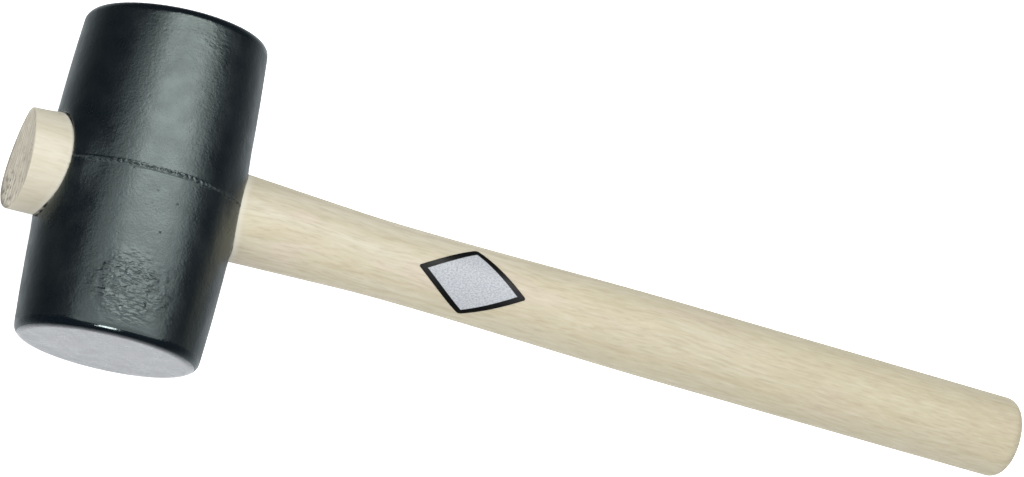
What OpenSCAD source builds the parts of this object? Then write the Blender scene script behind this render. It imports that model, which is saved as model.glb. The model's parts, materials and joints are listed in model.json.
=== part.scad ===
// Rubber mallet with a turned wooden handle, lying on its side on a flat surface.
// +Z is up. The head's axis lies along Y, and the handle runs towards +X and slopes
// down until its end touches the surface that the head rests on.

/* [Head] */
// Largest diameter of the barrel-shaped head, at the middle of its length
head_d = 65; // [55:0.5:90]
// Length of the head between its two striking faces
head_l = 110.6; // [90:0.1:140]
// How much the barrel's diameter drops from its middle to each striking face
barrel_drop = 4.5; // [2:0.5:9]
// Radius of the rounded rim of each striking face
rim_r = 3; // [1:0.25:6]
// Height of the ridge that the two halves of the mould leave round the head
ridge_h = 0.25; // [0.1:0.05:0.5]
// Width of that ridge where it meets the head
ridge_w = 1.4; // [1:0.1:2.5]

/* [Eye] */
// Gap between the handle and the middle of the eye, zero where the rubber grips the wood
eye_gap = 0; // [0:0.05:0.3]
// Gap between the handle and the eye's mouths, at the head's side
mouth_gap = 0.6; // [0.2:0.1:1.5]
// How far in from the head's side each mouth closes on to the handle
mouth_depth = 8; // [6:0.5:12]

/* [Handle] */
// Length of the handle from end to end
handle_l = 361; // [280:1:440]
// Diameter of the handle's wide end, which keeps the head from coming off
stub_d = 35.5; // [30:0.1:44]
// How far the wide end stands out of the head's side
stub_out = 9.4; // [2:0.1:20]
// Radius of the edge of the wide end
stub_edge_r = 0.6; // [0.2:0.1:2]
// Diameter of the neck, the thinnest place
neck_d = 25.7; // [21:0.1:31]
// Distance of the neck's thinnest place from the wide end
neck_at = 132; // [125:1:160]
// Radius of the long curve in which the taper runs out into the neck
neck_round = 500; // [200:10:900]
// Diameter of the grip, the straight part of the handle
grip_d = 28; // [23:0.1:34]
// Distance from the wide end to where the grip begins
grip_from = 234; // [200:1:260]
// Radius of the rounded butt, the free end of the handle
butt_round = 4.5; // [1:0.5:9]

/* [Label] */
// Thickness of the stuck-on label
label_t = 0.15; // [0.1:0.05:0.3]
// Length of the diamond-shaped label, along the handle
label_l = 39; // [28:0.1:46]
// Width of the label round the handle, measured flat
label_w = 25.5; // [18:0.1:28]
// Radius of the label's corners
label_corner_r = 1; // [0.5:0.1:2]
// Distance of the label's middle from the wide end
label_at = 154.7; // [140:0.1:180]
// Turn of the label's middle round the handle, from the top towards the -Y side
label_turn = 10; // [-60:1:60]

/* [Hidden] */

// Full circles are round to well under a hundredth of a millimetre
$fn = 360;
// Straight steps that stand for a quarter turn of a small rounding
ROUND_STEPS = 16;
// Straight steps along each of the handle's long curves
CURVE_STEPS = 14;
// Straight steps round each corner of the label
CORNER_STEPS = 6;
// Extra length that lets a cut pass right through a surface
THROUGH = 5;

head_r = head_d / 2;
half_l = head_l / 2;
// The barrel's outline is one arc: largest at the middle, half of barrel_drop less at the faces
crown_sag = barrel_drop / 2;
crown_r = (half_l * half_l + crown_sag * crown_sag) / (2 * crown_sag);
crown_axis = head_r - crown_r;
// The rim's arc touches the crown's arc from inside, and the face
rim_z = half_l - rim_r;
rim_at = crown_axis + sqrt(pow(crown_r - rim_r, 2) - rim_z * rim_z);
rim_meets_crown = rim_z * crown_r / (crown_r - rim_r);
// The ridge is the cap of a small circle, ridge_w wide and ridge_h high
ridge_r = (ridge_w * ridge_w / 4 + ridge_h * ridge_h) / (2 * ridge_h);

stub_r = stub_d / 2;
neck_r = neck_d / 2;
grip_r = grip_d / 2;
// Where the wide end lies along the handle's axis, counted from the head's axis
handle_from = -(head_r + stub_out);

// The taper is the straight line from the wide end that touches the neck's arc
neck_centre = [neck_r + neck_round, neck_at];
to_centre = [neck_centre[0] - stub_r, neck_centre[1]];
taper_a = atan2(to_centre[0], to_centre[1]) - asin(neck_round / norm(to_centre));
// The wide end's edge is an arc that touches both the end and the taper
stub_arc_r = stub_r + stub_edge_r * tan(taper_a) - stub_edge_r / cos(taper_a);

// Lying on a surface, the head touches it with its ridge and the handle with its butt
rest_r = head_r + ridge_h;
butt_arc_x = handle_from + handle_l - butt_round;
butt_arc_r = grip_r - butt_round;
rest_tilt = asin((rest_r - butt_round) / norm([butt_arc_x, butt_arc_r]))
    - atan2(butt_arc_r, butt_arc_x);

// The ends of the tilted handle along X, whose middle is the origin
front_x = butt_arc_x * cos(rest_tilt) + butt_arc_r * sin(rest_tilt) + butt_round;
back_x = (handle_from + stub_edge_r) * cos(rest_tilt) - stub_arc_r * sin(rest_tilt) - stub_edge_r;
head_x = -(front_x + back_x) / 2;

// Radius of the taper at a distance z from the wide end
function taper_r(z) = stub_r + z * tan(taper_a);

// Points of an arc as [radius, z], where 0 degrees points away from the axis
function arc(centre, r, from, to, steps) = [
    for (i = [0:steps])
        let (a = from + (to - from) * i / steps)
            centre + r * [cos(a), sin(a)]
];

// The neck's arc, from where the taper ends to the thinnest place
neck_points = arc(neck_centre, neck_round, 180 - taper_a, 180, CURVE_STEPS);

// The smooth swelling from the neck to the grip
swell_points = [
    for (i = [1:CURVE_STEPS])
        let (u = i / CURVE_STEPS)
            [neck_r + (grip_r - neck_r) * (1 - cos(180 * u)) / 2,
             neck_at + (grip_from - neck_at) * u]
];

stub_points = arc([stub_arc_r, stub_edge_r], stub_edge_r, -90, -taper_a, ROUND_STEPS);
butt_points = arc([butt_arc_r, handle_l - butt_round], butt_round, 0, 90, ROUND_STEPS);

// Half outline of the handle as [radius, z], with z from the wide end to the butt
handle_outline = concat([[0, 0]], stub_points, neck_points, swell_points, butt_points,
                        [[0, handle_l]]);

// Half outline of the head as [radius, z], without its ridge
module head_outline() {
    union() {
        intersection() {
            translate([crown_axis, 0]) circle(r = crown_r, $fn = 1440);
            translate([0, -rim_meets_crown]) square([head_d, 2 * rim_meets_crown]);
        }
        translate([0, -half_l]) square([rim_at, head_l]);
        for (side = [-1, 1]) translate([rim_at, side * rim_z]) circle(r = rim_r);
    }
}

// The small cap of a circle that makes the ridge
module ridge_outline() {
    translate([rest_r - ridge_r, 0]) circle(r = ridge_r);
}

// Lays what stands along Z from the wide end on to the handle's own axis
module along_handle() {
    translate([handle_from, 0, 0]) rotate([0, 90, 0]) children();
}

// Puts what is drawn round the crossing of the two axes into its place at rest
module at_rest() {
    translate([head_x, 0, rest_r]) rotate([0, rest_tilt, 0]) children();
}

// Half section of the handle, thicker by grow all round
module handle_section(grow = 0) {
    polygon([for (p = handle_outline) [p[0] > 0 ? p[0] + grow : 0, p[1]]]);
}

// The skin of the handle along the label's length, as thick as the label
module label_band() {
    rotate_extrude() intersection() {
        difference() {
            handle_section(label_t);
            handle_section();
        }
        translate([0, label_at - label_l / 2 - label_corner_r])
            square([grip_d, label_l + 2 * label_corner_r]);
    }
}

// The eye as a solid: the handle's taper through the head, and a flare at each mouth
module eye() {
    z_in = stub_out - THROUGH;
    z_out = stub_out + head_d + THROUGH;
    translate([0, 0, z_in])
        cylinder(h = z_out - z_in, r1 = taper_r(z_in) + eye_gap, r2 = taper_r(z_out) + eye_gap);
    // A mouth's flare goes on at the same slope past the head's side
    flare = mouth_gap / mouth_depth;
    flare_l = mouth_depth + THROUGH;
    narrow_in = stub_out + mouth_depth;
    translate([0, 0, z_in])
        cylinder(h = flare_l, r1 = taper_r(z_in) + eye_gap + flare * flare_l,
                 r2 = taper_r(narrow_in) + eye_gap);
    narrow_out = stub_out + head_d - mouth_depth;
    translate([0, 0, narrow_out])
        cylinder(h = flare_l, r1 = taper_r(narrow_out) + eye_gap,
                 r2 = taper_r(z_out) + eye_gap + flare * flare_l);
}

// A diamond with rounded corners: length along X, width along Y
module diamond(l, w, corner_r) {
    // The corners' arcs have their centres where the sides, moved in by the radius, would meet
    side_a = atan2(w, l);
    in_l = l / 2 - corner_r / sin(side_a);
    in_w = w / 2 - corner_r / cos(side_a);
    polygon(concat(
        arc([in_l, 0], corner_r, side_a - 90, 90 - side_a, CORNER_STEPS),
        arc([0, in_w], corner_r, 90 - side_a, 90 + side_a, CORNER_STEPS),
        arc([-in_l, 0], corner_r, 90 + side_a, 270 - side_a, CORNER_STEPS),
        arc([0, -in_w], corner_r, 270 - side_a, 270 + side_a, CORNER_STEPS)
    ));
}

// One-piece moulded hard rubber head with its tapered eye
module head() {
    color("#1d2226") at_rest() difference() {
        rotate([90, 0, 0]) rotate_extrude() union() {
            head_outline();
            ridge_outline();
        }
        along_handle() eye();
    }
}

// Turned wooden handle, pushed through the eye from the wide end's side
module handle() {
    color("#e3d9bd") at_rest() along_handle() rotate_extrude() handle_section();
}

// Thin label, stuck round the upper side of the handle
module label() {
    // The label bends round the handle, so from above it is only as wide as its chord
    chord = neck_d * sin(label_w / neck_d * 180 / PI);
    color("#8f9496") at_rest() along_handle() intersection() {
        label_band();
        rotate([0, 0, 180 + label_turn]) translate([0, 0, label_at]) rotate([0, 90, 0])
            linear_extrude(height = grip_d) diamond(label_l, chord, label_corner_r);
    }
}

head();
handle();
label();
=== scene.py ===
# %% [markdown]
# # A rubber mallet with a turned wooden handle
#
# This notebook dresses a finished construction model. The construction fixes every size, so the
# first cell loads it as a frame. All the new pieces are made in metres, in that frame.

# %% Load the frame
import json
import math

import bmesh
import bpy
from mathutils import Matrix, Quaternion, Vector, noise


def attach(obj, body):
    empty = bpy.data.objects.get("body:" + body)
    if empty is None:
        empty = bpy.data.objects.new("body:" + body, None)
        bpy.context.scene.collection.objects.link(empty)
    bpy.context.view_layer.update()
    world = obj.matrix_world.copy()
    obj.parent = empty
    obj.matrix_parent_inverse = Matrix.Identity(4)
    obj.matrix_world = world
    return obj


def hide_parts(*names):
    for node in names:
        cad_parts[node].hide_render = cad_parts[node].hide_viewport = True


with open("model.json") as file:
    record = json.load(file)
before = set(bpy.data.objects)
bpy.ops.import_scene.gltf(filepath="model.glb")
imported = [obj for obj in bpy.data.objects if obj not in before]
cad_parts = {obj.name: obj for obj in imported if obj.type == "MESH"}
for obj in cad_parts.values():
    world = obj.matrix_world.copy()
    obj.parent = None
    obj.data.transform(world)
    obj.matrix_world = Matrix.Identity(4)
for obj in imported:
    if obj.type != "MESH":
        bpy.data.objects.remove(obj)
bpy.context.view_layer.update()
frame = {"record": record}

MM = 0.001

# %% [markdown]
# ## The mallet's own axes
#
# The mallet lies on its side, with its handle sloping down to the floor. It is far easier to
# model it straight: the handle along X, the head along Y, and the two axes crossing at the origin.
# The record's mounts say where the striking faces and the handle's ends are, so the matrix that
# lays the straight mallet down comes from them and not from a guess.

# %% Axes and overall sizes from the frame
mounts = {mount["name"]: mount for mount in frame["record"]["mounts"]}


def mount_place(name):
    return Vector(mounts[name]["pos_m"])


face_a, face_b = mount_place("strike_face_a"), mount_place("strike_face_b")
crossing = (face_a + face_b) / 2
handle_way = (mount_place("butt_end") - mount_place("wide_end")).normalized()
head_way = (face_a - face_b).normalized()
up_way = handle_way.cross(head_way)
REST = Matrix((handle_way, head_way, up_way)).transposed().to_4x4()
REST.translation = crossing

HEAD_LENGTH = (face_a - face_b).length
HANDLE_LENGTH = (mount_place("butt_end") - mount_place("wide_end")).length
WIDE_END_X = -(mount_place("wide_end") - crossing).length
GRIP_R = mounts["grip"]["dims"]["r_mm"] * MM
print(f"head {HEAD_LENGTH / MM:.1f} mm long, handle {HANDLE_LENGTH / MM:.1f} mm long,",
      f"wide end at {WIDE_END_X / MM:.1f} mm")

# %% Sizes that the frame has no name for
HEAD_R = 32.5 * MM
BARREL_DROP = 2.25 * MM      # how much smaller the barrel's radius is at a striking face
RIM_R = 3.0 * MM
RIDGE_H = 0.25 * MM
STUB_R = 17.75 * MM
STUB_EDGE_R = 0.6 * MM
NECK_R = 12.85 * MM
NECK_AT = 132.0 * MM
NECK_ROUND = 500.0 * MM
GRIP_FROM = 234.0 * MM
BUTT_ROUND = 4.5 * MM
MOUTH_GAP = 0.6 * MM
MOUTH_DEPTH = 8.0 * MM
HAIR = 0.01 * MM             # a gap too small to see, between surfaces that touch
WELD = 0.001 * MM            # points closer than this are one point
HALF_HEAD = HEAD_LENGTH / 2
CROWN_R = (HALF_HEAD ** 2 + BARREL_DROP ** 2) / (2 * BARREL_DROP)
CROWN_AXIS = HEAD_R - CROWN_R
print(f"the barrel's outline is an arc of {CROWN_R / MM:.0f} mm radius")

# %% [markdown]
# ## Outlines as functions
#
# A turned handle and a moulded barrel are both bodies of revolution. Two small functions give the
# radius at any place along their axes, and every piece that has to touch them asks the same
# functions, so the label lies on the wood and the eye closes on the taper without any fitting.

# %% Radius of the barrel and of the handle


def barrel_r(y):
    """Radius of the head's barrel at a distance y from its middle."""
    return CROWN_AXIS + math.sqrt(CROWN_R ** 2 - y * y)


neck_centre_r = NECK_R + NECK_ROUND
to_neck = Vector((NECK_AT, neck_centre_r - STUB_R))
TAPER = math.atan2(to_neck.y, to_neck.x) - math.asin(NECK_ROUND / to_neck.length)
TAPER_END = NECK_AT + NECK_ROUND * math.sin(TAPER)


def handle_r(along):
    """Radius of the handle at a distance along it from the wide end."""
    if along < TAPER_END:
        return STUB_R + along * math.tan(TAPER)
    if along < NECK_AT:
        return neck_centre_r - math.sqrt(NECK_ROUND ** 2 - (NECK_AT - along) ** 2)
    if along < GRIP_FROM:
        swell = (along - NECK_AT) / (GRIP_FROM - NECK_AT)
        return NECK_R + (GRIP_R - NECK_R) * (1 - math.cos(math.pi * swell)) / 2
    return GRIP_R


print(f"taper {math.degrees(TAPER):.2f} degrees, ends {TAPER_END / MM:.1f} mm from the wide end")

# %% [markdown]
# ## Small helpers
#
# A half outline is a wire of a few points. Subdividing its long edges gives it enough points to
# follow a curve, a spin turns it into a solid, and a bevel rounds the edges that a lathe or a mould
# leaves round. The helpers below wrap those steps.

# %% Helpers for turned shapes


def wire(bm, points):
    """A chain of edges through (radius, along) points, the radius on X and the length on Y."""
    verts = [bm.verts.new((r, along, 0)) for r, along in points]
    return [bm.edges.new(pair) for pair in zip(verts, verts[1:])]


def spin_full(bm, steps):
    """Spins a wire round Y into a closed solid whose faces point outwards."""
    bmesh.ops.spin(bm, geom=bm.verts[:] + bm.edges[:], cent=(0, 0, 0), axis=(0, 1, 0),
                   angle=math.tau, steps=steps, use_merge=True)
    bmesh.ops.remove_doubles(bm, verts=bm.verts, dist=WELD)
    bmesh.ops.recalc_face_normals(bm, faces=bm.faces)


def edges_at(bm, along):
    """The edges whose two ends lie at one distance along Y, at the largest radius there."""
    ring = [e for e in bm.edges if all(abs(v.co.y - along) < HAIR for v in e.verts)]
    outer = max(math.hypot(v.co.x, v.co.z) for e in ring for v in e.verts)
    return [e for e in ring if all(math.hypot(v.co.x, v.co.z) > outer - HAIR for v in e.verts)]


def round_edges(bm, edges, radius, segments):
    bmesh.ops.bevel(bm, geom=edges, offset=radius, affect="EDGES", segments=segments,
                    profile=0.5, material=-1, clamp_overlap=False)


def finished(bm, name, materials, sharp_degrees=35):
    """Lays the straight piece down into its place and makes it an object on the frame."""
    bmesh.ops.transform(bm, matrix=REST, verts=bm.verts)
    mesh = bpy.data.meshes.new(name)
    bm.to_mesh(mesh)
    bm.free()
    for material in materials:
        mesh.materials.append(material)
    mesh.shade_smooth()
    mesh.set_sharp_from_angle(angle=math.radians(sharp_degrees))
    piece = bpy.data.objects.new(name, mesh)
    bpy.context.scene.collection.objects.link(piece)
    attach(piece, "root")
    print(f"{name}: {len(mesh.vertices)} vertices, {len(mesh.polygons)} faces")
    return piece


# %% [markdown]
# ## Node helpers
#
# Every finish below is made of noise, a few sums and a few colour ramps. These short functions
# keep each material readable: they add one node, fill in its inputs and hand back its output.

# %% Helpers for nodes


def feed(tree, socket, value):
    """Links a socket to another node's output, or sets its value."""
    if isinstance(value, bpy.types.NodeSocket):
        tree.links.new(value, socket)
    elif value is not None:
        socket.default_value = value


def add_node(tree, kind, inputs, **settings):
    """Adds a node, fills in its settings and inputs, and hands back all its outputs."""
    made = tree.nodes.new(kind)
    for key, value in settings.items():
        setattr(made, key, value)
    for key, value in inputs.items():
        feed(tree, made.inputs[key], value)
    return made.outputs


def colour(r, g, b):
    return (r, g, b, 1.0)


# %% Helpers for materials


class Finish:
    """A material with one Principled shader, and short calls that add nodes to it."""

    def __init__(self, name):
        self.material = bpy.data.materials.new(name)
        self.material.use_nodes = True
        self.tree = self.material.node_tree
        self.shader = self.tree.nodes["Principled BSDF"]

    def node(self, kind, inputs, out=0, **settings):
        return add_node(self.tree, kind, inputs, **settings)[out]

    def math(self, operation, a, b=None):
        return self.node("ShaderNodeMath", {0: a, 1: b}, operation=operation)

    def times(self, a, b):
        return self.math("MULTIPLY", a, b)

    def larger(self, a, b):
        return self.math("MAXIMUM", a, b)

    def vector(self, operation, a, b=None, out=0):
        return self.node("ShaderNodeVectorMath", {0: a, 1: b}, out=out, operation=operation)

    def length(self, vector):
        return self.vector("LENGTH", vector, out="Value")

    def split(self, vector):
        return add_node(self.tree, "ShaderNodeSeparateXYZ", {0: vector})

    def object_coords(self, turn, place):
        coords = self.node("ShaderNodeTexCoord", {}, out="Object")
        return self.node("ShaderNodeMapping", {"Vector": coords, "Location": place,
                                               "Rotation": turn}, vector_type="POINT")

    def stretch(self, vector, scale):
        return self.node("ShaderNodeMapping", {"Vector": vector, "Scale": scale},
                         vector_type="POINT")

    def noise(self, vector, scale, detail=2.0, roughness=0.5, out="Fac"):
        return self.node("ShaderNodeTexNoise", {"Vector": vector, "Scale": scale,
                                                "Detail": detail, "Roughness": roughness}, out=out)

    def cells(self, vector, scale):
        """Scattered cells: their own colours and the distance from their middles."""
        return add_node(self.tree, "ShaderNodeTexVoronoi", {"Vector": vector, "Scale": scale})

    def ramp(self, value, low, high, to_low=0.0, to_high=1.0):
        """value from low..high to to_low..to_high, softly at both ends and no further."""
        return self.node("ShaderNodeMapRange",
                         {"Value": value, "From Min": low, "From Max": high,
                          "To Min": to_low, "To Max": to_high}, interpolation_type="SMOOTHSTEP")

    def near(self, vector, place, reach):
        """1 round a place and 0 further from it than reach, which is given for each axis."""
        off = self.vector("DIVIDE", self.vector("SUBTRACT", vector, place), reach)
        return self.ramp(self.length(off), 0.35, 1.0, 1.0, 0.0)

    def facing(self, way, normal="Normal"):
        """1 where the surface looks along a direction, to either side, and 0 across it."""
        normal = self.node("ShaderNodeNewGeometry", {}, out=normal)
        return self.math("ABSOLUTE", self.vector("DOT_PRODUCT", normal, tuple(way), out="Value"))

    def mix(self, factor, a, b, blend="MIX"):
        return self.node("ShaderNodeMix", {"Factor": factor, "A": a, "B": b}, out="Result",
                         data_type="RGBA", blend_type=blend)

    def bump(self, height, distance, strength=1.0, below=None):
        return self.node("ShaderNodeBump", {"Height": height, "Distance": distance,
                                            "Strength": strength, "Normal": below})

    def set(self, **values):
        for key, value in values.items():
            feed(self.tree, self.shader.inputs[key.replace("_", " ")], value)


# %% [markdown]
# The patterns have to follow the wood and the barrel, not the floor. A Mapping node turns the
# coordinates back by the same slope that lays the handle down, so X runs along the grain, Y along
# the head, and the two axes cross at the origin again.

# %% Pattern coordinates along the mallet's own axes
SLOPE = math.atan2(-handle_way.z, handle_way.x)
TURN_BACK = (0, -SLOPE, 0)
MOVE_BACK = Vector((-crossing.x, 0, -crossing.z))
MOVE_BACK.rotate(Quaternion((0, 1, 0), -SLOPE))
print(f"the handle slopes down by {math.degrees(SLOPE):.2f} degrees")

# %% [markdown]
# ## Hard rubber, as it leaves the mould
#
# Moulded rubber is almost black and half glossy. What makes it look like rubber and not like
# plastic is its skin: a fine orange peel, patches that are creased where the rubber flowed
# together, a few pits from trapped air, and a pale bloom that dulls the gloss here and there.

# %% Shades and marks of the rubber
RUBBER_BLUE = colour(0.0014, 0.0036, 0.0068)
RUBBER_BLACK = colour(0.0026, 0.0046, 0.0070)
BLOOM_GREY = colour(0.011, 0.015, 0.017)
PIT_SHADE_BLACK = colour(0.001, 0.002, 0.003)
CREASE_PATCH = Vector((-4, -39, 31.5)) * MM
CREASE_REACH = Vector((19, 17, 19)) * MM
FAINT_PATCH = Vector((7, 46, 30)) * MM
FAINT_REACH = Vector((8, 7, 8)) * MM
PITS = ((-7, -4), (-11.5, -6), (-9.5, 9), (-20, 2.5))      # mm along, degrees from the top
PIT_REACH = Vector((0.8, 0.6, 0.8)) * MM
RIM_FROM = 51.5 * MM         # the rims lie further than this from the barrel's middle
print("pits in set places:", len(PITS))

# %% Creases and pits


def creases(finish, at):
    """Short strokes that run round the barrel, so their noise is stretched that way."""
    folds = finish.noise(finish.stretch(at, (0.45, 1.0, 0.45)), 840.0, detail=1.0)
    # One strong patch lies near a rim and a faint one near the other, with traces elsewhere
    strong = finish.math("POWER", finish.near(at, CREASE_PATCH, CREASE_REACH), 1.7)
    faint = finish.times(finish.near(at, FAINT_PATCH, FAINT_REACH), 0.28)
    uneven = finish.ramp(finish.noise(at, 240.0), 0.30, 0.60, 0.3, 1.0)
    traces = finish.ramp(finish.noise(at, 30.0, detail=1.5), 0.54, 0.70, 0.0, 0.08)
    patch = finish.larger(finish.times(finish.larger(strong, faint), uneven), traces)
    return finish.times(folds, patch)


def air_pits(finish, at):
    """Tiny holes: the middles of a few of many scattered cells, and a few in set places."""
    cells = finish.cells(at, 190.0)
    red = finish.node("ShaderNodeSeparateColor", {0: cells["Color"]}, out="Red")
    middles = finish.ramp(cells["Distance"], 0.03, 0.10, 1.0, 0.0)
    pits = finish.times(finish.ramp(red, 0.80, 0.83), middles)
    for along, angle in PITS:
        r = barrel_r(along * MM)
        turn = math.radians(angle)
        place = (r * math.sin(turn), along * MM, r * math.cos(turn))
        pits = finish.larger(pits, finish.near(at, place, PIT_REACH))
    depth = finish.ramp(finish.noise(at, 130.0), 0.35, 0.65, 0.35, 0.8)
    return finish.times(pits, depth)


# %% Rubber finish


def rubber_finish():
    finish = Finish("moulded_rubber")
    at = finish.object_coords(TURN_BACK, MOVE_BACK)
    along_head = finish.math("ABSOLUTE", finish.split(at)["Y"])
    pits = air_pits(finish, at)
    bloom = finish.noise(at, 45.0, detail=4.0, roughness=0.6)
    tint = finish.ramp(finish.noise(at, 14.0, detail=2.0), 0.35, 0.65)
    base = finish.mix(tint, RUBBER_BLUE, RUBBER_BLACK)
    base = finish.mix(finish.ramp(bloom, 0.5, 0.8, 0.0, 0.25), base, BLOOM_GREY)
    # Painted shade: the pits' middles are darkened towards near-black
    base = finish.mix(finish.times(pits, 0.7), base, PIT_SHADE_BLACK)
    # The torn skin of the parting line, rough and dull in a narrow band round the middle
    torn = finish.noise(finish.stretch(at, (1.0, 1.6, 1.0)), 900.0, detail=2.0)
    band = finish.ramp(along_head, 0.4 * MM, 1.2 * MM, 1.0, 0.0)
    dull = finish.times(finish.ramp(along_head, 0.15 * MM, 0.7 * MM, 1.0, 0.0),
                        finish.ramp(torn, 0.40, 0.56, 0.0, 0.85))
    rough = finish.ramp(finish.noise(at, 160.0, detail=3.0), 0.3, 0.7, 0.27, 0.35)
    rough = finish.math("ADD", rough, finish.ramp(bloom, 0.45, 0.8, 0.0, 0.08))
    rough = finish.larger(rough, finish.times(pits, 0.9))
    rough = finish.larger(rough, dull)
    # The rims were pressed against polished steel, so they are glossier than the barrel
    polish = finish.ramp(along_head, RIM_FROM, RIM_FROM + 1.5 * MM, 1.0, 0.45)
    rough = finish.times(rough, polish)
    # Fine orange peel lies all over, with coarser and softer waves under it
    peel = finish.noise(at, 1150.0, detail=2.0, roughness=0.6)
    waves = finish.noise(at, 300.0, detail=2.0)
    normal = finish.bump(peel, 0.070 * MM, strength=polish)
    normal = finish.bump(waves, 0.09 * MM, strength=polish, below=normal)
    normal = finish.bump(creases(finish, at), 0.66 * MM, below=normal)
    normal = finish.bump(finish.times(pits, -1.0), 0.06 * MM, below=normal)
    normal = finish.bump(finish.times(torn, band), 0.20 * MM, below=normal)
    finish.set(Base_Color=base, Roughness=rough, Normal=normal, IOR=1.85,
               Specular_Tint=colour(0.84, 1.0, 0.97))
    return finish.material


rubber = rubber_finish()
print("rubber finish:", len(rubber.node_tree.nodes), "nodes")

# %% [markdown]
# The two striking faces are moulded against the mould's end plates. They are flatter and duller
# than the barrel, and the powder that lets the rubber leave the mould stays on them as a thin
# bloom, which lights up when it is seen at a low angle. That is sheen, so they get a finish of
# their own with the sheen set on the shader. Their grey base colour is partly that powder and
# partly a painted reflection of the pale table.

# %% Striking face finish
FACE_TURN = 0.80             # cosine of the turn at which the rim is bare of powder
# Painted reflection: these greys are partly the powder and partly the pale table's reflection
POWDER_AND_REFLECTION_DIM, POWDER_AND_REFLECTION_BRIGHT = colour(0.055, 0.057, 0.060), colour(0.118, 0.120, 0.125)
SCUFF_GREY, SHADE_AND_RUBBED_GREY = colour(0.034, 0.036, 0.038), colour(0.030, 0.032, 0.034)
FACE_RIM_BLACK = colour(0.003, 0.006, 0.009)


def face_finish():
    finish = Finish("rubber_striking_face")
    at = finish.object_coords(TURN_BACK, MOVE_BACK)
    mottle = finish.noise(at, 170.0, detail=5.0, roughness=0.62)
    base = finish.mix(finish.ramp(mottle, 0.35, 0.7), POWDER_AND_REFLECTION_DIM, POWDER_AND_REFLECTION_BRIGHT)
    scuffs = finish.noise(finish.stretch(at, (0.15, 1.0, 1.0)), 420.0, detail=3.0)
    base = finish.mix(finish.ramp(scuffs, 0.58, 0.72, 0.0, 0.5), base, SCUFF_GREY)
    # Painted shade makes the face darker towards the top and lighter towards the lower side, and
    # the powder is rubbed off in soft spots
    shade_and_rubbed = finish.ramp(finish.split(at)["Z"], -22 * MM, 26 * MM, 0.0, 0.55)
    rubbed = finish.noise(at, 110.0, detail=4.0, roughness=0.65)
    shade_and_rubbed = finish.larger(shade_and_rubbed, finish.ramp(rubbed, 0.45, 0.65, 0.0, 0.7))
    base = finish.mix(shade_and_rubbed, base, SHADE_AND_RUBBED_GREY)
    # The powder and the painted reflection thin out where the face turns into the rim
    powder_and_reflection = finish.ramp(finish.facing(head_way), FACE_TURN, 0.97)
    base = finish.mix(powder_and_reflection, FACE_RIM_BLACK, base)
    rough = finish.ramp(finish.noise(at, 300.0, detail=3.0), 0.3, 0.7, 0.24, 0.36)
    normal = finish.bump(finish.noise(at, 500.0, detail=4.0), 0.03 * MM)
    normal = finish.bump(scuffs, 0.02 * MM, below=normal)
    finish.set(Base_Color=base, Roughness=rough, Normal=normal, IOR=1.45,
               Sheen_Weight=0.80, Sheen_Roughness=0.35, Sheen_Tint=colour(0.97, 0.97, 1.0))
    return finish.material


striking_face = face_finish()
print("striking face finish:", len(striking_face.node_tree.nodes), "nodes")

# %% [markdown]
# ## The head
#
# The head is one moulding: a barrel with flat ends and rounded rims, and an eye through its middle.
# A boolean cut would leave long thin faces round the eye, so the hole is grown from the barrel's
# own faces instead. A patch of faces is removed, its border is extruded in towards a circle, over a
# small lip and down the eye, and the two sides are bridged inside the head.

# %% Barrel with rounded rims
AROUND = 480                 # faces round the barrel, each under half a millimetre wide
RIM_ROOM = RIM_R + 0.6 * MM  # bevels need this much plain face beside them
FACE_CUTS, BARREL_CUTS, RIM_STEPS = 9, 51, 7
head = bmesh.new()
face_r = barrel_r(HALF_HEAD)
side_y = HALF_HEAD - RIM_ROOM
flat_r = face_r - RIM_ROOM
outline = wire(head, [(0, -HALF_HEAD), (flat_r, -HALF_HEAD), (face_r, -HALF_HEAD),
                      (barrel_r(side_y), -side_y), (barrel_r(side_y), side_y),
                      (face_r, HALF_HEAD), (flat_r, HALF_HEAD), (0, HALF_HEAD)])
bmesh.ops.subdivide_edges(head, edges=[outline[0], outline[6]], cuts=FACE_CUTS)
bmesh.ops.subdivide_edges(head, edges=[outline[3]], cuts=BARREL_CUTS)
for v in head.verts:
    if abs(v.co.y) < side_y:
        v.co.x = barrel_r(v.co.y)
spin_full(head, AROUND)
rims = edges_at(head, -HALF_HEAD) + edges_at(head, HALF_HEAD)
round_edges(head, rims, RIM_R, RIM_STEPS)
print(f"barrel: {len(head.faces)} faces, rims rounded to {RIM_R / MM:.1f} mm")

# %% Extra loops beside the parting line
PARTING_LOOPS = (0.0, 0.25, 0.5, 0.75, 1.0, 1.25, 1.5, 1.8)    # millimetres to each side
for offset in PARTING_LOOPS:
    for side in ({1, -1} if offset else {1}):
        bmesh.ops.bisect_plane(head, geom=head.verts[:] + head.edges[:] + head.faces[:],
                               dist=WELD, plane_co=(0, side * offset * MM, 0),
                               plane_no=(0, 1, 0))
print(f"with the parting loops: {len(head.faces)} faces")

# %% [markdown]
# A casting is never quite true. The handle's wedge pushes the thin rubber above and below it
# outwards, so the barrel swells a little round each mouth, more on the wide end's side. One
# striking face leans by about a degree, and the whole skin wanders by a tenth of a millimetre.

# %% Swelling round the mouths, leaning face, uneven skin
SWELLING = {-1: 1.6 * MM, 1: 0.9 * MM}      # at the wide end's side and at the handle's side
SWELLING_REACH = 9 * MM
MOUTH_AT = 29 * MM           # about how far from the head's axis the mouths lie
SKIN_WANDER = 0.12 * MM
WANDER_SCALE = 45            # bumps of the noise in a metre
WANDER_FROM, WANDER_FADE = 24 * MM, 8 * MM       # it fades in beyond the mouths
FACE_LEAN = 0.022
LEAN_FROM, LEAN_LENGTH = 25 * MM, 25 * MM


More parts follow.
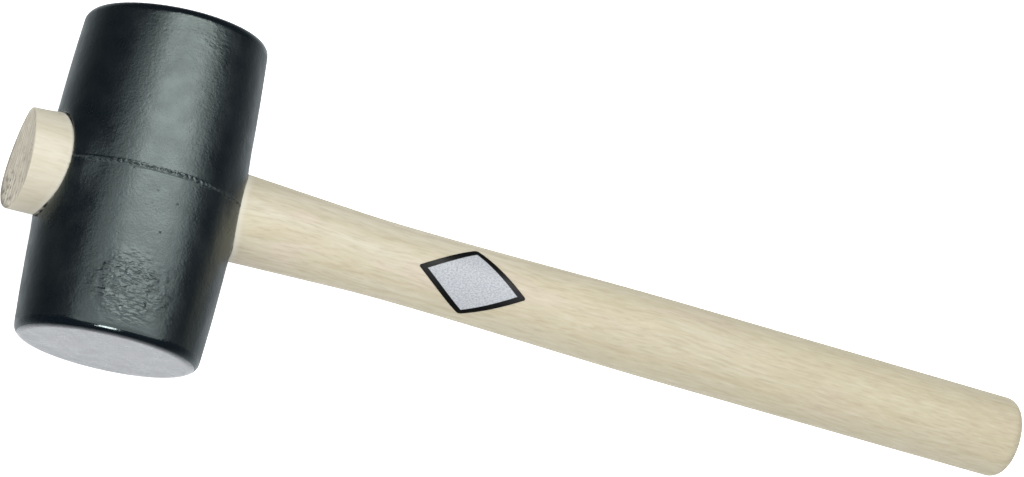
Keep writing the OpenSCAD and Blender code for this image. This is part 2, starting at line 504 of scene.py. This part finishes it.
def swelling(side, y, z):
    """How much the barrel's radius grows at a place beside the handle's axis."""
    r = math.hypot(y, z)
    away = r - handle_r(side * MOUTH_AT - WIDE_END_X)
    t = min(1.0, max(0.0, away / SWELLING_REACH))
    return SWELLING[side] * (z / r) ** 2 * (1 - t) ** 2 * (1 + 2 * t) if r > 0 else 0.0


for v in head.verts:
    skin = Vector((v.co.x, 0, v.co.z))
    if skin.length > 5 * MM:
        grow = swelling(1 if v.co.x > 0 else -1, v.co.y, v.co.z)
        beyond = (abs(v.co.y) - WANDER_FROM) / WANDER_FADE
        if beyond > 0:
            grow = SKIN_WANDER * noise.noise(v.co * WANDER_SCALE) * min(1, beyond)
        v.co += skin.normalized() * grow
    lean = min(1.0, max(0.0, (v.co.y - LEAN_FROM) / LEAN_LENGTH))
    v.co.y += FACE_LEAN * v.co.x * lean * lean
print(f"swollen by up to {max(SWELLING.values()) / MM:.1f} mm round the mouths")

# %% [markdown]
# The eye's mouth lies where two curved surfaces meet, so its edge isn't a plane circle. For each
# point of the border the radius where the flare meets the barrel is found by going round the two
# formulas a few times. A quadratic curve through that corner then makes the lip.

# %% Where the eye comes out of the barrel


def barrel_x(side, y, z):
    """How far out the barrel's skin is along the handle, at a place y, z beside its axis."""
    return math.sqrt((barrel_r(y) + swelling(side, y, z)) ** 2 - z * z)


def on_barrel(side, r, turn):
    y, z = r * math.cos(turn), r * math.sin(turn)
    return Vector((side * barrel_x(side, y, z), y, z))


def eye_wall_r(x):
    """Radius of the eye at a place x along the handle, with the flares at its mouths."""
    flare = max(0.0, (abs(x) - (HEAD_R - MOUTH_DEPTH)) / MOUTH_DEPTH) * MOUTH_GAP
    return handle_r(x - WIDE_END_X) + flare


def mouth_r(side, turn):
    """Radius at which the eye's wall comes out through the barrel, in the direction turn."""
    r = eye_wall_r(side * HEAD_R)
    for _ in range(4):
        r = eye_wall_r(side * barrel_x(side, r * math.cos(turn), r * math.sin(turn)))
    return r


print(f"mouths: {mouth_r(-1, 0) / MM:.2f} and {mouth_r(1, 0) / MM:.2f} mm in radius")

# %% Open the two mouths and join them inside
PATCH_ANGLE = math.radians(40)
PATCH_Y = 22 * MM
WAY_LEFT = (0.72, 0.62, 0.5, 0.36, 0.0)      # what each extrusion leaves of the way to the lip
LIP = 0.7 * MM
LIP_STEPS = 4


def border(bm):
    return [e for e in bm.edges if len(e.link_faces) == 1]


def extrude_border(bm, edges, place_of):
    """Extrudes a border once and puts each new vertex at place_of(radius, turn)."""
    made = bmesh.ops.extrude_edge_only(bm, edges=edges)["geom"]
    for v in (g for g in made if isinstance(g, bmesh.types.BMVert)):
        turn = math.atan2(v.co.z, v.co.y)
        v.co = place_of(math.hypot(v.co.y, v.co.z), turn)
    return [g for g in made if isinstance(g, bmesh.types.BMEdge) and len(g.link_faces) == 1]


def open_mouth(bm, side):
    patch = [f for f in bm.faces
             if side * (c := f.calc_center_median()).x > 0
             and abs(math.atan2(c.z, abs(c.x))) < PATCH_ANGLE and abs(c.y) < PATCH_Y]
    bmesh.ops.delete(bm, geom=patch, context="FACES")
    edges = [e for e in border(bm) if side * e.verts[0].co.x > 0]

    for left in WAY_LEFT:
        def towards_lip(r, turn, left=left):
            lip_r = mouth_r(side, turn) + LIP
            return on_barrel(side, lip_r + (r - lip_r) * left, turn)
        edges = extrude_border(bm, edges, towards_lip)

    for step in range(1, LIP_STEPS + 1):
        def over_lip(r, turn, t=step / LIP_STEPS):
            corner_r = mouth_r(side, turn)
            start = on_barrel(side, corner_r + LIP, turn)
            corner = on_barrel(side, corner_r, turn)
            end_x = corner.x - side * LIP
            end_r = eye_wall_r(end_x)
            end = Vector((end_x, end_r * math.cos(turn), end_r * math.sin(turn)))
            return start * (1 - t) ** 2 + corner * 2 * t * (1 - t) + end * t * t
        edges = extrude_border(bm, edges, over_lip)

    def flare_bottom(r, turn):
        x = side * (HEAD_R - MOUTH_DEPTH)
        wall = eye_wall_r(x) + HAIR
        return Vector((x, wall * math.cos(turn), wall * math.sin(turn)))
    return extrude_border(bm, edges, flare_bottom)


inside = open_mouth(head, -1) + open_mouth(head, 1)
bmesh.ops.bridge_loops(head, edges=inside)
bmesh.ops.recalc_face_normals(head, faces=head.faces)
print(f"with the eye: {len(head.faces)} faces, {len(border(head))} open edges")

# %% [markdown]
# ## The parting line
#
# Where the two halves of the mould met, a thin skin of rubber squeezed out and was torn off. What
# is left is a low broken ridge with short tears beside it. It is real relief, so the vertices near
# the middle of the barrel are moved by noise, and a bump alone wouldn't show in the outline.

# %% Height of the torn flash
FLASH_REACH = 1.9 * MM
STITCH = 1.9 * MM            # mean distance between two tears
TEAR_SLANT = 0.9             # how far a tear moves round the barrel for each step across
RIDGE_HALF = 0.6 * MM
TEAR_HALF = 0.65 * MM
TEAR_DEPTH = 0.30 * MM
TEAR_AT = 0.1 * MM           # the tears lie a little beside the ridge
LINE_WANDER = 0.25 * MM
TORN_MOST = math.radians(-5)     # the flash tore badly over a stretch round this angle
TORN_REACH = math.radians(34)
LEAST_TORN = 0.22            # how strong the line still is beyond that stretch


def hump(off, half_width):
    """1 in the middle, 0 at half_width from it and beyond."""
    return max(0.0, 1 - (off / half_width) ** 2) ** 1.5


def drift(place, scale, seed=0):
    """Noise that changes only along the line, with so many bumps in a metre."""
    return noise.noise(Vector((place * scale, seed, 0)))


def flash_height(place):
    """How far the skin stands out at a place beside the parting line."""
    angle = math.atan2(place.x, place.z)
    round_the_barrel = angle * HEAD_R
    slow, uneven = drift(round_the_barrel, 70), drift(round_the_barrel, 210, 5)
    y = place.y - LINE_WANDER * drift(round_the_barrel, 120, 9)
    # The tears' spacing and strength change, as the skin gave way unevenly
    phase = (round_the_barrel + TEAR_SLANT * y) / STITCH + 0.9 * uneven + 0.6 * slow
    stitch = math.sin(math.tau * phase)
    away = (angle - TORN_MOST) / TORN_REACH
    strength = min(1.0, 1.0 + 0.4 * slow)
    strength *= LEAST_TORN + (1 - LEAST_TORN) * math.exp(-away ** 6)
    ridge = RIDGE_H * (0.45 + 0.55 * max(0.0, stitch)) * hump(y, RIDGE_HALF)
    tear = TEAR_DEPTH * max(0.0, -stitch) * hump(y - TEAR_AT, TEAR_HALF)
    return (ridge - tear) * strength


# %% Tear the flash round the middle
moved = 0
for v in head.verts:
    out = Vector((v.co.x, 0, v.co.z))
    on_skin = out.length > barrel_r(v.co.y) - 0.3 * MM       # and not on the eye's wall
    if on_skin and abs(v.co.y) < FLASH_REACH:
        v.co += out.normalized() * flash_height(v.co)
        moved += 1
print(f"parting line: {moved} vertices moved")

# %% Hand the head over
for f in head.faces:
    f.material_index = 1 if abs(f.normal.y) > FACE_TURN else 0
head_piece = finished(head, "rubber_head", [rubber, striking_face])
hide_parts("head")

# %% [markdown]
# ## Pale turned hardwood
#
# The handle is a pale, close-grained hardwood. Up close its colour drifts between cream, straw
# and a faint pink in long streaks, with thousands of short darker dashes where the rays are cut.
# Stretched noise makes both: the pattern is squeezed across the grain and left long along it. The
# ends show the growth rings and the open pores instead, and collect dirt.

# %% Shades and marks of the wood
CREAM, PALE_CREAM = colour(0.442, 0.393, 0.292), colour(0.474, 0.434, 0.338)
STRAW, PINK = colour(0.454, 0.404, 0.283), colour(0.478, 0.412, 0.332)
GRIP_STRAW = colour(0.387, 0.338, 0.225)
GRAIN_DARK, GRAIN_PALE = colour(0.94, 0.935, 0.92), colour(1.02, 1.02, 1.025)
RING_BROWN, RAY_BROWN = colour(0.339, 0.269, 0.174), colour(0.292, 0.229, 0.158)
FLECK_PALE = colour(0.569, 0.537, 0.442)
BESIDE_HEAD_PALE, STUB_PALE = colour(0.56, 0.54, 0.46), colour(0.56, 0.53, 0.44)
MOUTH_SHADOW_BLACK = colour(0.012, 0.013, 0.014)
END_PALE, END_BROWN = colour(0.506, 0.466, 0.379), colour(0.355, 0.316, 0.244)
END_RING, END_SHADE = colour(0.260, 0.229, 0.165), colour(0.316, 0.284, 0.221)
GRIME_BROWN, RIM_SHADE = colour(0.111, 0.095, 0.079), colour(0.174, 0.150, 0.118)
RING_WIDTH = 3.1 * MM
FROM_HEART = Vector((0, -12, 75)) * MM       # from the tree's heart to the handle's axis
GRIMY_CORNER = Vector((-42, -13, -8)) * MM
GRIMY_REACH = Vector((12, 13, 15)) * MM
print(f"growth rings {RING_WIDTH / MM:.1f} mm apart")

# %% Colour along the grain


def streaky_cream(finish, at, bent, streak):
    """The wood's own colour: cream, straw and pink in long streaks, with fine straight grain."""
    broad = finish.noise(finish.stretch(bent, (0.22, 1.0, 1.0)), 60.0, detail=2.0)
    blush = finish.noise(finish.stretch(bent, (0.30, 1.0, 1.0)), 110.0, detail=2.0)
    base = finish.mix(finish.ramp(streak, 0.38, 0.62), CREAM, PALE_CREAM)
    base = finish.mix(finish.ramp(broad, 0.42, 0.62, 0.0, 0.6), base, STRAW)
    base = finish.mix(finish.ramp(blush, 0.50, 0.66, 0.0, 0.7), base, PINK)
    # The grip is deeper in colour than the neck
    along = finish.ramp(finish.split(at)["X"], 0.02, 0.30)
    base = finish.mix(finish.times(along, 0.55), base, GRIP_STRAW)
    grain = finish.noise(finish.stretch(bent, (0.09, 1.0, 1.0)), 820.0, detail=3.0, roughness=0.65)
    grain = finish.mix(finish.ramp(grain, 0.32, 0.66), GRAIN_DARK, GRAIN_PALE)
    return finish.mix(1.0, base, grain, blend="MULTIPLY")


def growth_rings(finish, bent):
    """Bands of distance from the tree's heart."""
    from_heart = finish.vector("ADD", finish.stretch(bent, (0.0, 1.0, 1.0)), FROM_HEART)
    wave = finish.math("SINE", finish.times(finish.length(from_heart), math.tau / RING_WIDTH))
    return finish.ramp(wave, 0.2, 1.0)


def pale_and_shaded_by_the_head(finish, at, base):
    """Beside the head the wood is paler, and painted shadow draws a black line on its border with
    the rubber.
    """
    from_head = finish.length(finish.stretch(at, (1.0, 0.0, 1.0)))
    paler_band = finish.ramp(from_head, HEAD_R + 0.6 * MM, HEAD_R + 3.0 * MM, 0.65, 0.0)
    base = finish.mix(paler_band, base, BESIDE_HEAD_PALE)
    stub_part = finish.ramp(finish.split(at)["X"], -34 * MM, -24 * MM, 0.34, 0.0)
    base = finish.mix(stub_part, base, STUB_PALE)
    # Painted shadow: a black line where the wood meets the rubber
    mouth_shadow = finish.ramp(from_head, HEAD_R + 0.2 * MM, HEAD_R + 0.55 * MM, 1.0, 0.0)
    mouth_shadow = finish.times(mouth_shadow, finish.ramp(finish.noise(at, 350.0), 0.3, 0.6, 0.5, 1.0))
    return finish.mix(mouth_shadow, base, MOUTH_SHADOW_BLACK)


# %% Colour of the ends


def end_grain(finish, at, rings, pores):
    """Open pores and growth rings, darker towards the top with painted shade, and grimy in one
    corner.
    """
    base = finish.mix(finish.ramp(pores, 0.36, 0.62), END_PALE, END_BROWN)
    base = finish.mix(finish.times(rings, 0.5), base, END_RING)
    # Painted shade: the end face darkens towards its top
    top_shade = finish.ramp(finish.split(at)["Z"], 3 * MM, 14 * MM, 0.0, 0.45)
    base = finish.mix(top_shade, base, END_SHADE)
    corner = finish.near(at, GRIMY_CORNER, GRIMY_REACH)
    dirt = finish.noise(at, 520.0, detail=2.0)
    specks = finish.times(corner, finish.ramp(dirt, 0.52, 0.60, 0.0, 0.9))
    grime = finish.larger(finish.ramp(dirt, 0.63, 0.70, 0.0, 0.6), specks)
    return finish.mix(grime, base, GRIME_BROWN)


def shaded_rim(finish, at, base, facing, end):
    """Painted shade darkens the ends' rims, mostly on the wide end's lower side."""
    height = finish.split(at)["Z"]
    edge = finish.times(finish.ramp(facing, 0.25, 0.6), finish.ramp(facing, 0.995, 0.97))
    radial = finish.length(finish.stretch(at, (0.0, 1.0, 1.0)))
    lower = finish.math("SUBTRACT", radial, finish.times(height, 0.16))
    rim = finish.times(end, finish.ramp(lower, STUB_R - 1.6 * MM, STUB_R + 0.4 * MM))
    patchy = finish.ramp(finish.noise(at, 420.0), 0.35, 0.6, 0.35, 0.9)
    # Painted shade: this mask darkens the rounded edges and the wide end's lower rim
    dirt = finish.times(finish.larger(edge, rim), patchy)
    dirt = finish.times(dirt, finish.ramp(height, -3 * MM, 6 * MM, 1.0, 0.15))
    return finish.mix(dirt, base, RIM_SHADE)


# %% Wood finish


def wood_finish():
    finish = Finish("turned_hardwood")
    at = finish.object_coords(TURN_BACK, MOVE_BACK)
    warp = finish.noise(at, 9.0, detail=2.0, out="Color")
    bent = finish.mix(0.010, at, warp, blend="ADD")
    streak = finish.noise(finish.stretch(bent, (0.07, 1.0, 1.0)), 190.0, detail=3.0)
    base = streaky_cream(finish, at, bent, streak)
    rings = growth_rings(finish, bent)
    base = finish.mix(finish.times(rings, 0.15), base, RING_BROWN)
    # Short dashes of the rays, some dark and some pale
    dash = finish.noise(finish.stretch(bent, (0.14, 1.0, 1.0)), 1200.0, detail=2.0)
    dashes = finish.ramp(dash, 0.53, 0.66)
    base = finish.mix(finish.times(dashes, 0.24), base, RAY_BROWN)
    base = finish.mix(finish.times(finish.ramp(dash, 0.46, 0.34), 0.16), base, FLECK_PALE)
    base = pale_and_shaded_by_the_head(finish, at, base)
    # End grain, wherever the surface faces along the handle
    facing = finish.facing(handle_way, "True Normal")
    end = finish.ramp(facing, 0.80, 0.97)
    pores = finish.noise(finish.stretch(at, (0.15, 0.22, 1.0)), 1000.0, detail=3.0)
    base = finish.mix(end, base, end_grain(finish, at, rings, pores))
    base = shaded_rim(finish, at, base, facing, end)
    rough = finish.ramp(streak, 0.3, 0.7, 0.45, 0.58)
    rough = finish.math("ADD", rough, finish.times(end, 0.25))
    fibres = finish.noise(finish.stretch(bent, (0.03, 1.0, 1.0)), 2600.0, detail=2.0)
    normal = finish.bump(dashes, -0.02 * MM)
    normal = finish.bump(fibres, 0.02 * MM, below=normal)
    normal = finish.bump(finish.times(pores, end), 0.12 * MM, below=normal)
    finish.set(Base_Color=base, Roughness=rough, Normal=normal, IOR=1.45, Coat_Weight=0.10,
               Coat_Roughness=0.40)
    return finish.material


wood = wood_finish()
print("wood finish:", len(wood.node_tree.nodes), "nodes")

# %% [markdown]
# ## The handle
#
# A lathe makes the handle, so a spin does too. The outline starts as a straight line from end to
# end. Its vertices are then moved to the radius of the taper, neck and grip. The wide end keeps a
# crisp edge that was only broken with sandpaper, and the butt is rounded generously for the hand.

# %% Turn the handle
TURN_STEPS = 224             # faces round the handle
END_CUTS, LONG_CUTS = 4, 170
STUB_EDGE_STEPS, BUTT_STEPS = 3, 9
BUTT_ROOM = 0.6 * MM         # plain wood beside the butt's bevel
handle = bmesh.new()
first, last = 2 * MM, HANDLE_LENGTH - BUTT_ROUND - BUTT_ROOM
outline = wire(handle, [(0, 0), (STUB_R - first, 0), (STUB_R, 0), (handle_r(first), first),
                        (handle_r(last), last), (GRIP_R, HANDLE_LENGTH),
                        (GRIP_R - BUTT_ROUND - BUTT_ROOM, HANDLE_LENGTH), (0, HANDLE_LENGTH)])
bmesh.ops.subdivide_edges(handle, edges=[outline[0], outline[6]], cuts=END_CUTS)
bmesh.ops.subdivide_edges(handle, edges=[outline[3]], cuts=LONG_CUTS)
for v in handle.verts:
    if first < v.co.y < last:
        v.co.x = handle_r(v.co.y)
spin_full(handle, TURN_STEPS)
wide_edge, butt_edge = edges_at(handle, 0), edges_at(handle, HANDLE_LENGTH)
round_edges(handle, wide_edge, STUB_EDGE_R, STUB_EDGE_STEPS)
round_edges(handle, butt_edge, BUTT_ROUND, BUTT_STEPS)
print(f"handle: {len(handle.faces)} faces")

# %% Lay the handle along X
bmesh.ops.rotate(handle, verts=handle.verts, cent=(0, 0, 0),
                 matrix=Matrix.Rotation(-math.pi / 2, 3, "Z"))
bmesh.ops.translate(handle, verts=handle.verts, vec=(WIDE_END_X, 0, 0))
print(f"the handle now reaches from x = {min(v.co.x for v in handle.verts) / MM:.1f} mm",
      f"to {max(v.co.x for v in handle.verts) / MM:.1f} mm")

# %% [markdown]
# The wide end was sawn by hand. Its face is a little twisted, and one side lost some wood. Both
# grow from nothing at the head's side, so the wood still fills the eye's mouth. `out` is 0 there
# and 1 at the face, and the twist is left to the last tenth, which is the face itself.

# %% Saw the wide end and hand the handle over
LOST_WOOD = 1.7 * MM
SAW_TWIST = 4.5              # metres of length for each square metre of distance from the axis
SAW_STEP = 0.15 * MM
FACE_FROM = 0.9
for v in handle.verts:
    out = (-HEAD_R - v.co.x) / (-HEAD_R - WIDE_END_X)
    if out > 0:
        side = max(0.0, v.co.y / STUB_R) ** 2
        v.co.y -= LOST_WOOD * side * out ** 0.6
    if out > FACE_FROM:
        v.co.x += (SAW_STEP - SAW_TWIST * v.co.y * v.co.z) * (out - FACE_FROM) / (1 - FACE_FROM)
handle_piece = finished(handle, "turned_handle", [wood])
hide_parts("handle")

# %% [markdown]
# ## The label
#
# The label is a thin foil diamond, stuck round the neck. It starts flat, so that its own flat
# coordinates can be kept in a UV map for the print. Planes then cut it into narrow strips, because
# a face can only bend at its edges, and each vertex is moved on to the wood.

# %% Label finish
FOIL_PALE, FOIL_DARK = colour(0.42, 0.43, 0.45), colour(0.27, 0.28, 0.30)
PRINT_BLACK = colour(0.003, 0.003, 0.003)
BORDER_FROM, BORDER_TO = 0.82, 0.835         # where the field ends, as a part of the way out


def label_finish():
    finish = Finish("label_foil")
    flat = finish.node("ShaderNodeUVMap", {}, uv_map="flat")
    parts = finish.split(flat)
    # The way out from the middle: 0 there and 1 all along the diamond's edge
    out = finish.math("ADD", finish.math("ABSOLUTE", parts["X"]),
                      finish.math("ABSOLUTE", parts["Y"]))
    fray = finish.math("SUBTRACT", finish.noise(flat, 60.0, detail=2.0), 0.5)
    out = finish.math("ADD", out, finish.times(fray, 0.01))
    field = finish.ramp(out, BORDER_FROM, BORDER_TO, 1.0, 0.0)
    speckle = finish.noise(flat, 26.0, detail=4.0, roughness=0.7)
    silver = finish.mix(finish.ramp(speckle, 0.35, 0.65), FOIL_PALE, FOIL_DARK)
    base = finish.mix(field, PRINT_BLACK, silver)
    rough = finish.ramp(finish.noise(flat, 12.0, detail=3.0), 0.3, 0.7, 0.30, 0.42)
    normal = finish.bump(finish.noise(flat, 5.0, detail=2.0), 0.05 * MM)
    finish.set(Base_Color=base, Roughness=rough, Normal=normal, IOR=1.33)
    return finish.material


label_foil = label_finish()
print("label finish:", len(label_foil.node_tree.nodes), "nodes")

# %% Cut the flat label
LABEL_LENGTH = 39.0 * MM
LABEL_WIDTH = 25.5 * MM
LABEL_CORNER_R = 1.0 * MM
CORNER_STEPS = 5
STRIPS = 32
label = bmesh.new()
bmesh.ops.create_circle(label, cap_ends=True, segments=4, radius=1.0)
bmesh.ops.scale(label, vec=(LABEL_LENGTH / 2, LABEL_WIDTH / 2, 1.0), verts=label.verts)
bmesh.ops.bevel(label, geom=label.verts[:], offset=LABEL_CORNER_R, affect="VERTICES",
                segments=CORNER_STEPS, profile=0.5, material=-1)
for i in range(1, STRIPS):
    bmesh.ops.bisect_plane(label, geom=label.verts[:] + label.edges[:] + label.faces[:],
                           dist=WELD, plane_no=(0, 1, 0),
                           plane_co=(0, LABEL_WIDTH * (i / STRIPS - 0.5), 0))
print(f"flat label: {len(label.faces)} strips")

# %% Keep its flat coordinates
flat_uv = label.loops.layers.uv.new("flat")
for f in label.faces:
    for loop in f.loops:
        flat_place = loop.vert.co
        loop[flat_uv].uv = (flat_place.x / (LABEL_LENGTH / 2), flat_place.y / (LABEL_WIDTH / 2))
reach = max(abs(loop[flat_uv].uv.x) for f in label.faces for loop in f.loops)
print(f"flat coordinates reach {reach:.2f} along the label")

# %% Bend and stick the label
LABEL_T = 0.15 * MM
LABEL_AT = 154.7 * MM
LABEL_TURN = math.radians(10)
LABEL_ASKEW = math.radians(-2)       # stuck on by hand, so it isn't quite in line


def stick(place, lift):
    """A flat place on the label, bent on to the wood and lifted off it."""
    along = LABEL_AT + place.x
    r = handle_r(along) + lift
    turn = place.y / handle_r(LABEL_AT) - LABEL_TURN
    return Vector((WIDE_END_X + along, r * math.sin(turn), r * math.cos(turn)))


bmesh.ops.rotate(label, verts=label.verts, cent=(0, 0, 0),
                 matrix=Matrix.Rotation(LABEL_ASKEW, 3, "Z"))
top = bmesh.ops.extrude_face_region(label, geom=label.faces[:])["geom"]
top_verts = {g for g in top if isinstance(g, bmesh.types.BMVert)}
for v in label.verts:
    v.co = stick(v.co, LABEL_T if v in top_verts else HAIR)
bmesh.ops.recalc_face_normals(label, faces=label.faces)
label_piece = finished(label, "foil_label", [label_foil], sharp_degrees=50)
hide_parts("label")

# %% [markdown]
# ## Floor and light
#
# The mallet lies on a white light table, which glows a little itself, so its shadow stays faint.
# It is a plain grid.
#
# A glossy black barrel shows everything around it. An endless white floor would turn its lower
# half grey, while a real table is small and the room beyond it dark. So the floor is hidden from
# mirrored rays, and the world takes its place there.

# %% Floor
FLOOR_REACH = 6.0
FLOOR_BELOW = 0.2 * MM       # just under the rubber, so the two don't share a surface
floor_mesh = bmesh.new()
bmesh.ops.create_grid(floor_mesh, x_segments=4, y_segments=4, size=FLOOR_REACH)
mesh = bpy.data.meshes.new("floor")
floor_mesh.to_mesh(mesh)
floor_mesh.free()
table_top = Finish("light_table")
table_top.set(Base_Color=colour(0.82, 0.82, 0.82), Roughness=0.7, Specular_IOR_Level=0.2,
              Emission_Color=colour(1.0, 1.0, 1.0), Emission_Strength=0.74)
mesh.materials.append(table_top.material)
floor = bpy.data.objects.new("floor", mesh)
bpy.context.scene.collection.objects.link(floor)
floor.location.z = -FLOOR_BELOW
floor.visible_glossy = False
print(f"floor: {2 * FLOOR_REACH:.0f} m wide")

# %% [markdown]
# Three softboxes hang overhead: a wide, dim one, and two smaller and brighter ones below it, so the
# light is strongest in the middle and fades outwards. They hang at different heights, because lamps
# at one height hide each other in a mirror, while these add up. Together they draw the broad soft
# stripe along the barrel. A lamp low in front lights the near side and puts the sharp glint on the
# rim. A lamp's power grows with its area, so each is given by how bright it looks instead.

# %% Lights
WHITE, CREAM_WHITE = (1.0, 1.0, 1.0), (1.0, 1.0, 0.95)


def panel(name, shape, place, target, size, radiance, tint=WHITE):
    """A flat panel that shines evenly towards a target; size is its width and its height."""
    light = bpy.data.lights.new(name, "AREA")
    light.shape = shape
    light.size, light.size_y = size
    area = light.size * light.size_y * (math.pi / 4 if shape == "ELLIPSE" else 1)
    light.energy = radiance * math.pi * area
    light.color = tint
    lamp = bpy.data.objects.new(name, light)
    lamp.location = place
    lamp.rotation_euler = (Vector(target) - Vector(place)).to_track_quat("-Z", "Y").to_euler()
    lamp.visible_camera = False
    bpy.context.scene.collection.objects.link(lamp)


def softbox(name, shape, place, size, radiance, tint=WHITE):
    """A panel that hangs level and shines straight down."""
    panel(name, shape, place, (place[0], place[1], 0.0), size, radiance, tint)


HEAD_PLACE = Vector((crossing.x, 0, 0.03))
TO_LAMP = Vector((-0.177, -0.711, 0.680))    # the direction of the lamp from the head
LAMP_AWAY = 1.5
softbox("wide_softbox", "ELLIPSE", (-0.15, -0.05, 1.20), (3.80, 1.60), 1.10)
softbox("middle_softbox", "RECTANGLE", (0.22, 0.37, 1.16), (1.96, 0.80), 1.05)
softbox("bright_softbox", "RECTANGLE", (0.0, 0.55, 1.12), (1.10, 0.70), 2.0, CREAM_WHITE)
panel("front_lamp", "RECTANGLE", HEAD_PLACE + LAMP_AWAY * TO_LAMP, HEAD_PLACE, (0.46, 0.38), 13.0)

# %% [markdown]
# The world has one brightness for each kind of ray. Mirrored rays meet a pale table straight below
# that fades into a dim room, rays that light dull surfaces meet the same soft light from all round,
# and the camera sees a pale backdrop.

# %% The room, for mirrored rays, dull surfaces and the camera
TABLE_WAY = (0.20, 0.05, -0.98)      # the direction in which the table looks brightest
TABLE_FOCUS = 2.5                    # how fast it fades away from there
TABLE_MOST = 0.62                    # round that direction it is evenly this bright
TABLE_GAIN, ROOM_DIM = 1.10, 0.04
ALL_ROUND, BACKDROP = 0.50, 0.75
world = bpy.data.worlds.new("dim_room")
bpy.context.scene.world = world
world.use_nodes = True
room = world.node_tree


def room_math(operation, a, b, c=None):
    return add_node(room, "ShaderNodeMath", {0: a, 1: b, 2: c}, operation=operation)[0]


def for_rays(kind, brightness, otherwise):
    """One brightness for one kind of ray, and another one for the rest."""
    is_kind = add_node(room, "ShaderNodeLightPath", {})[kind]
    return add_node(room, "ShaderNodeMix", {"Factor": is_kind, "A": otherwise, "B": brightness},
                    data_type="FLOAT")[0]


way = add_node(room, "ShaderNodeTexCoord", {})["Generated"]
down = add_node(room, "ShaderNodeVectorMath", {0: way, 1: TABLE_WAY},
                operation="DOT_PRODUCT")["Value"]
table = room_math("POWER", room_math("MAXIMUM", down, 0.0), TABLE_FOCUS)
table = room_math("MINIMUM", table, TABLE_MOST)
mirrored = room_math("MULTIPLY_ADD", table, TABLE_GAIN, ROOM_DIM)
strength = for_rays("Is Diffuse Ray", ALL_ROUND, mirrored)
strength = for_rays("Is Camera Ray", BACKDROP, strength)
glow = room.nodes["Background"]
glow.inputs["Color"].default_value = colour(0.90, 0.96, 1.0)
feed(room, glow.inputs["Strength"], strength)
bpy.context.scene.view_settings.view_transform = "Standard"
print("room nodes:", len(room.nodes))

# %% [markdown]
# ## The camera
#
# A catalogue picture of a hand tool is taken from high above with a long lens. The camera is given
# by what it looks at, its compass direction, its height above the horizon and its roll, which lets
# the handle run down to the right.

# %% Camera
LOOK_AT = Vector((-9.7, 20.81, 20.0)) * MM
DISTANCE = 1478.4 * MM
AZIMUTH, ELEVATION, ROLL = (math.radians(a) for a in (-44.18, 69.44, 57.66))
camera_data = bpy.data.cameras.new("camera")
camera_data.sensor_width = 36.0
camera_data.lens = 154.64
camera = bpy.data.objects.new("camera", camera_data)
bpy.context.scene.collection.objects.link(camera)
back = Vector((math.sin(AZIMUTH) * math.cos(ELEVATION), -math.cos(AZIMUTH) * math.cos(ELEVATION),
               math.sin(ELEVATION)))
camera.location = LOOK_AT + back * DISTANCE
camera.rotation_mode = "QUATERNION"
camera.rotation_quaternion = (-back).to_track_quat("-Z", "Y") @ Quaternion((0, 0, 1), ROLL)
camera_data.clip_start, camera_data.clip_end = 0.05, 50.0
bpy.context.scene.camera = camera
print("camera at", [round(c, 3) for c in camera.location])
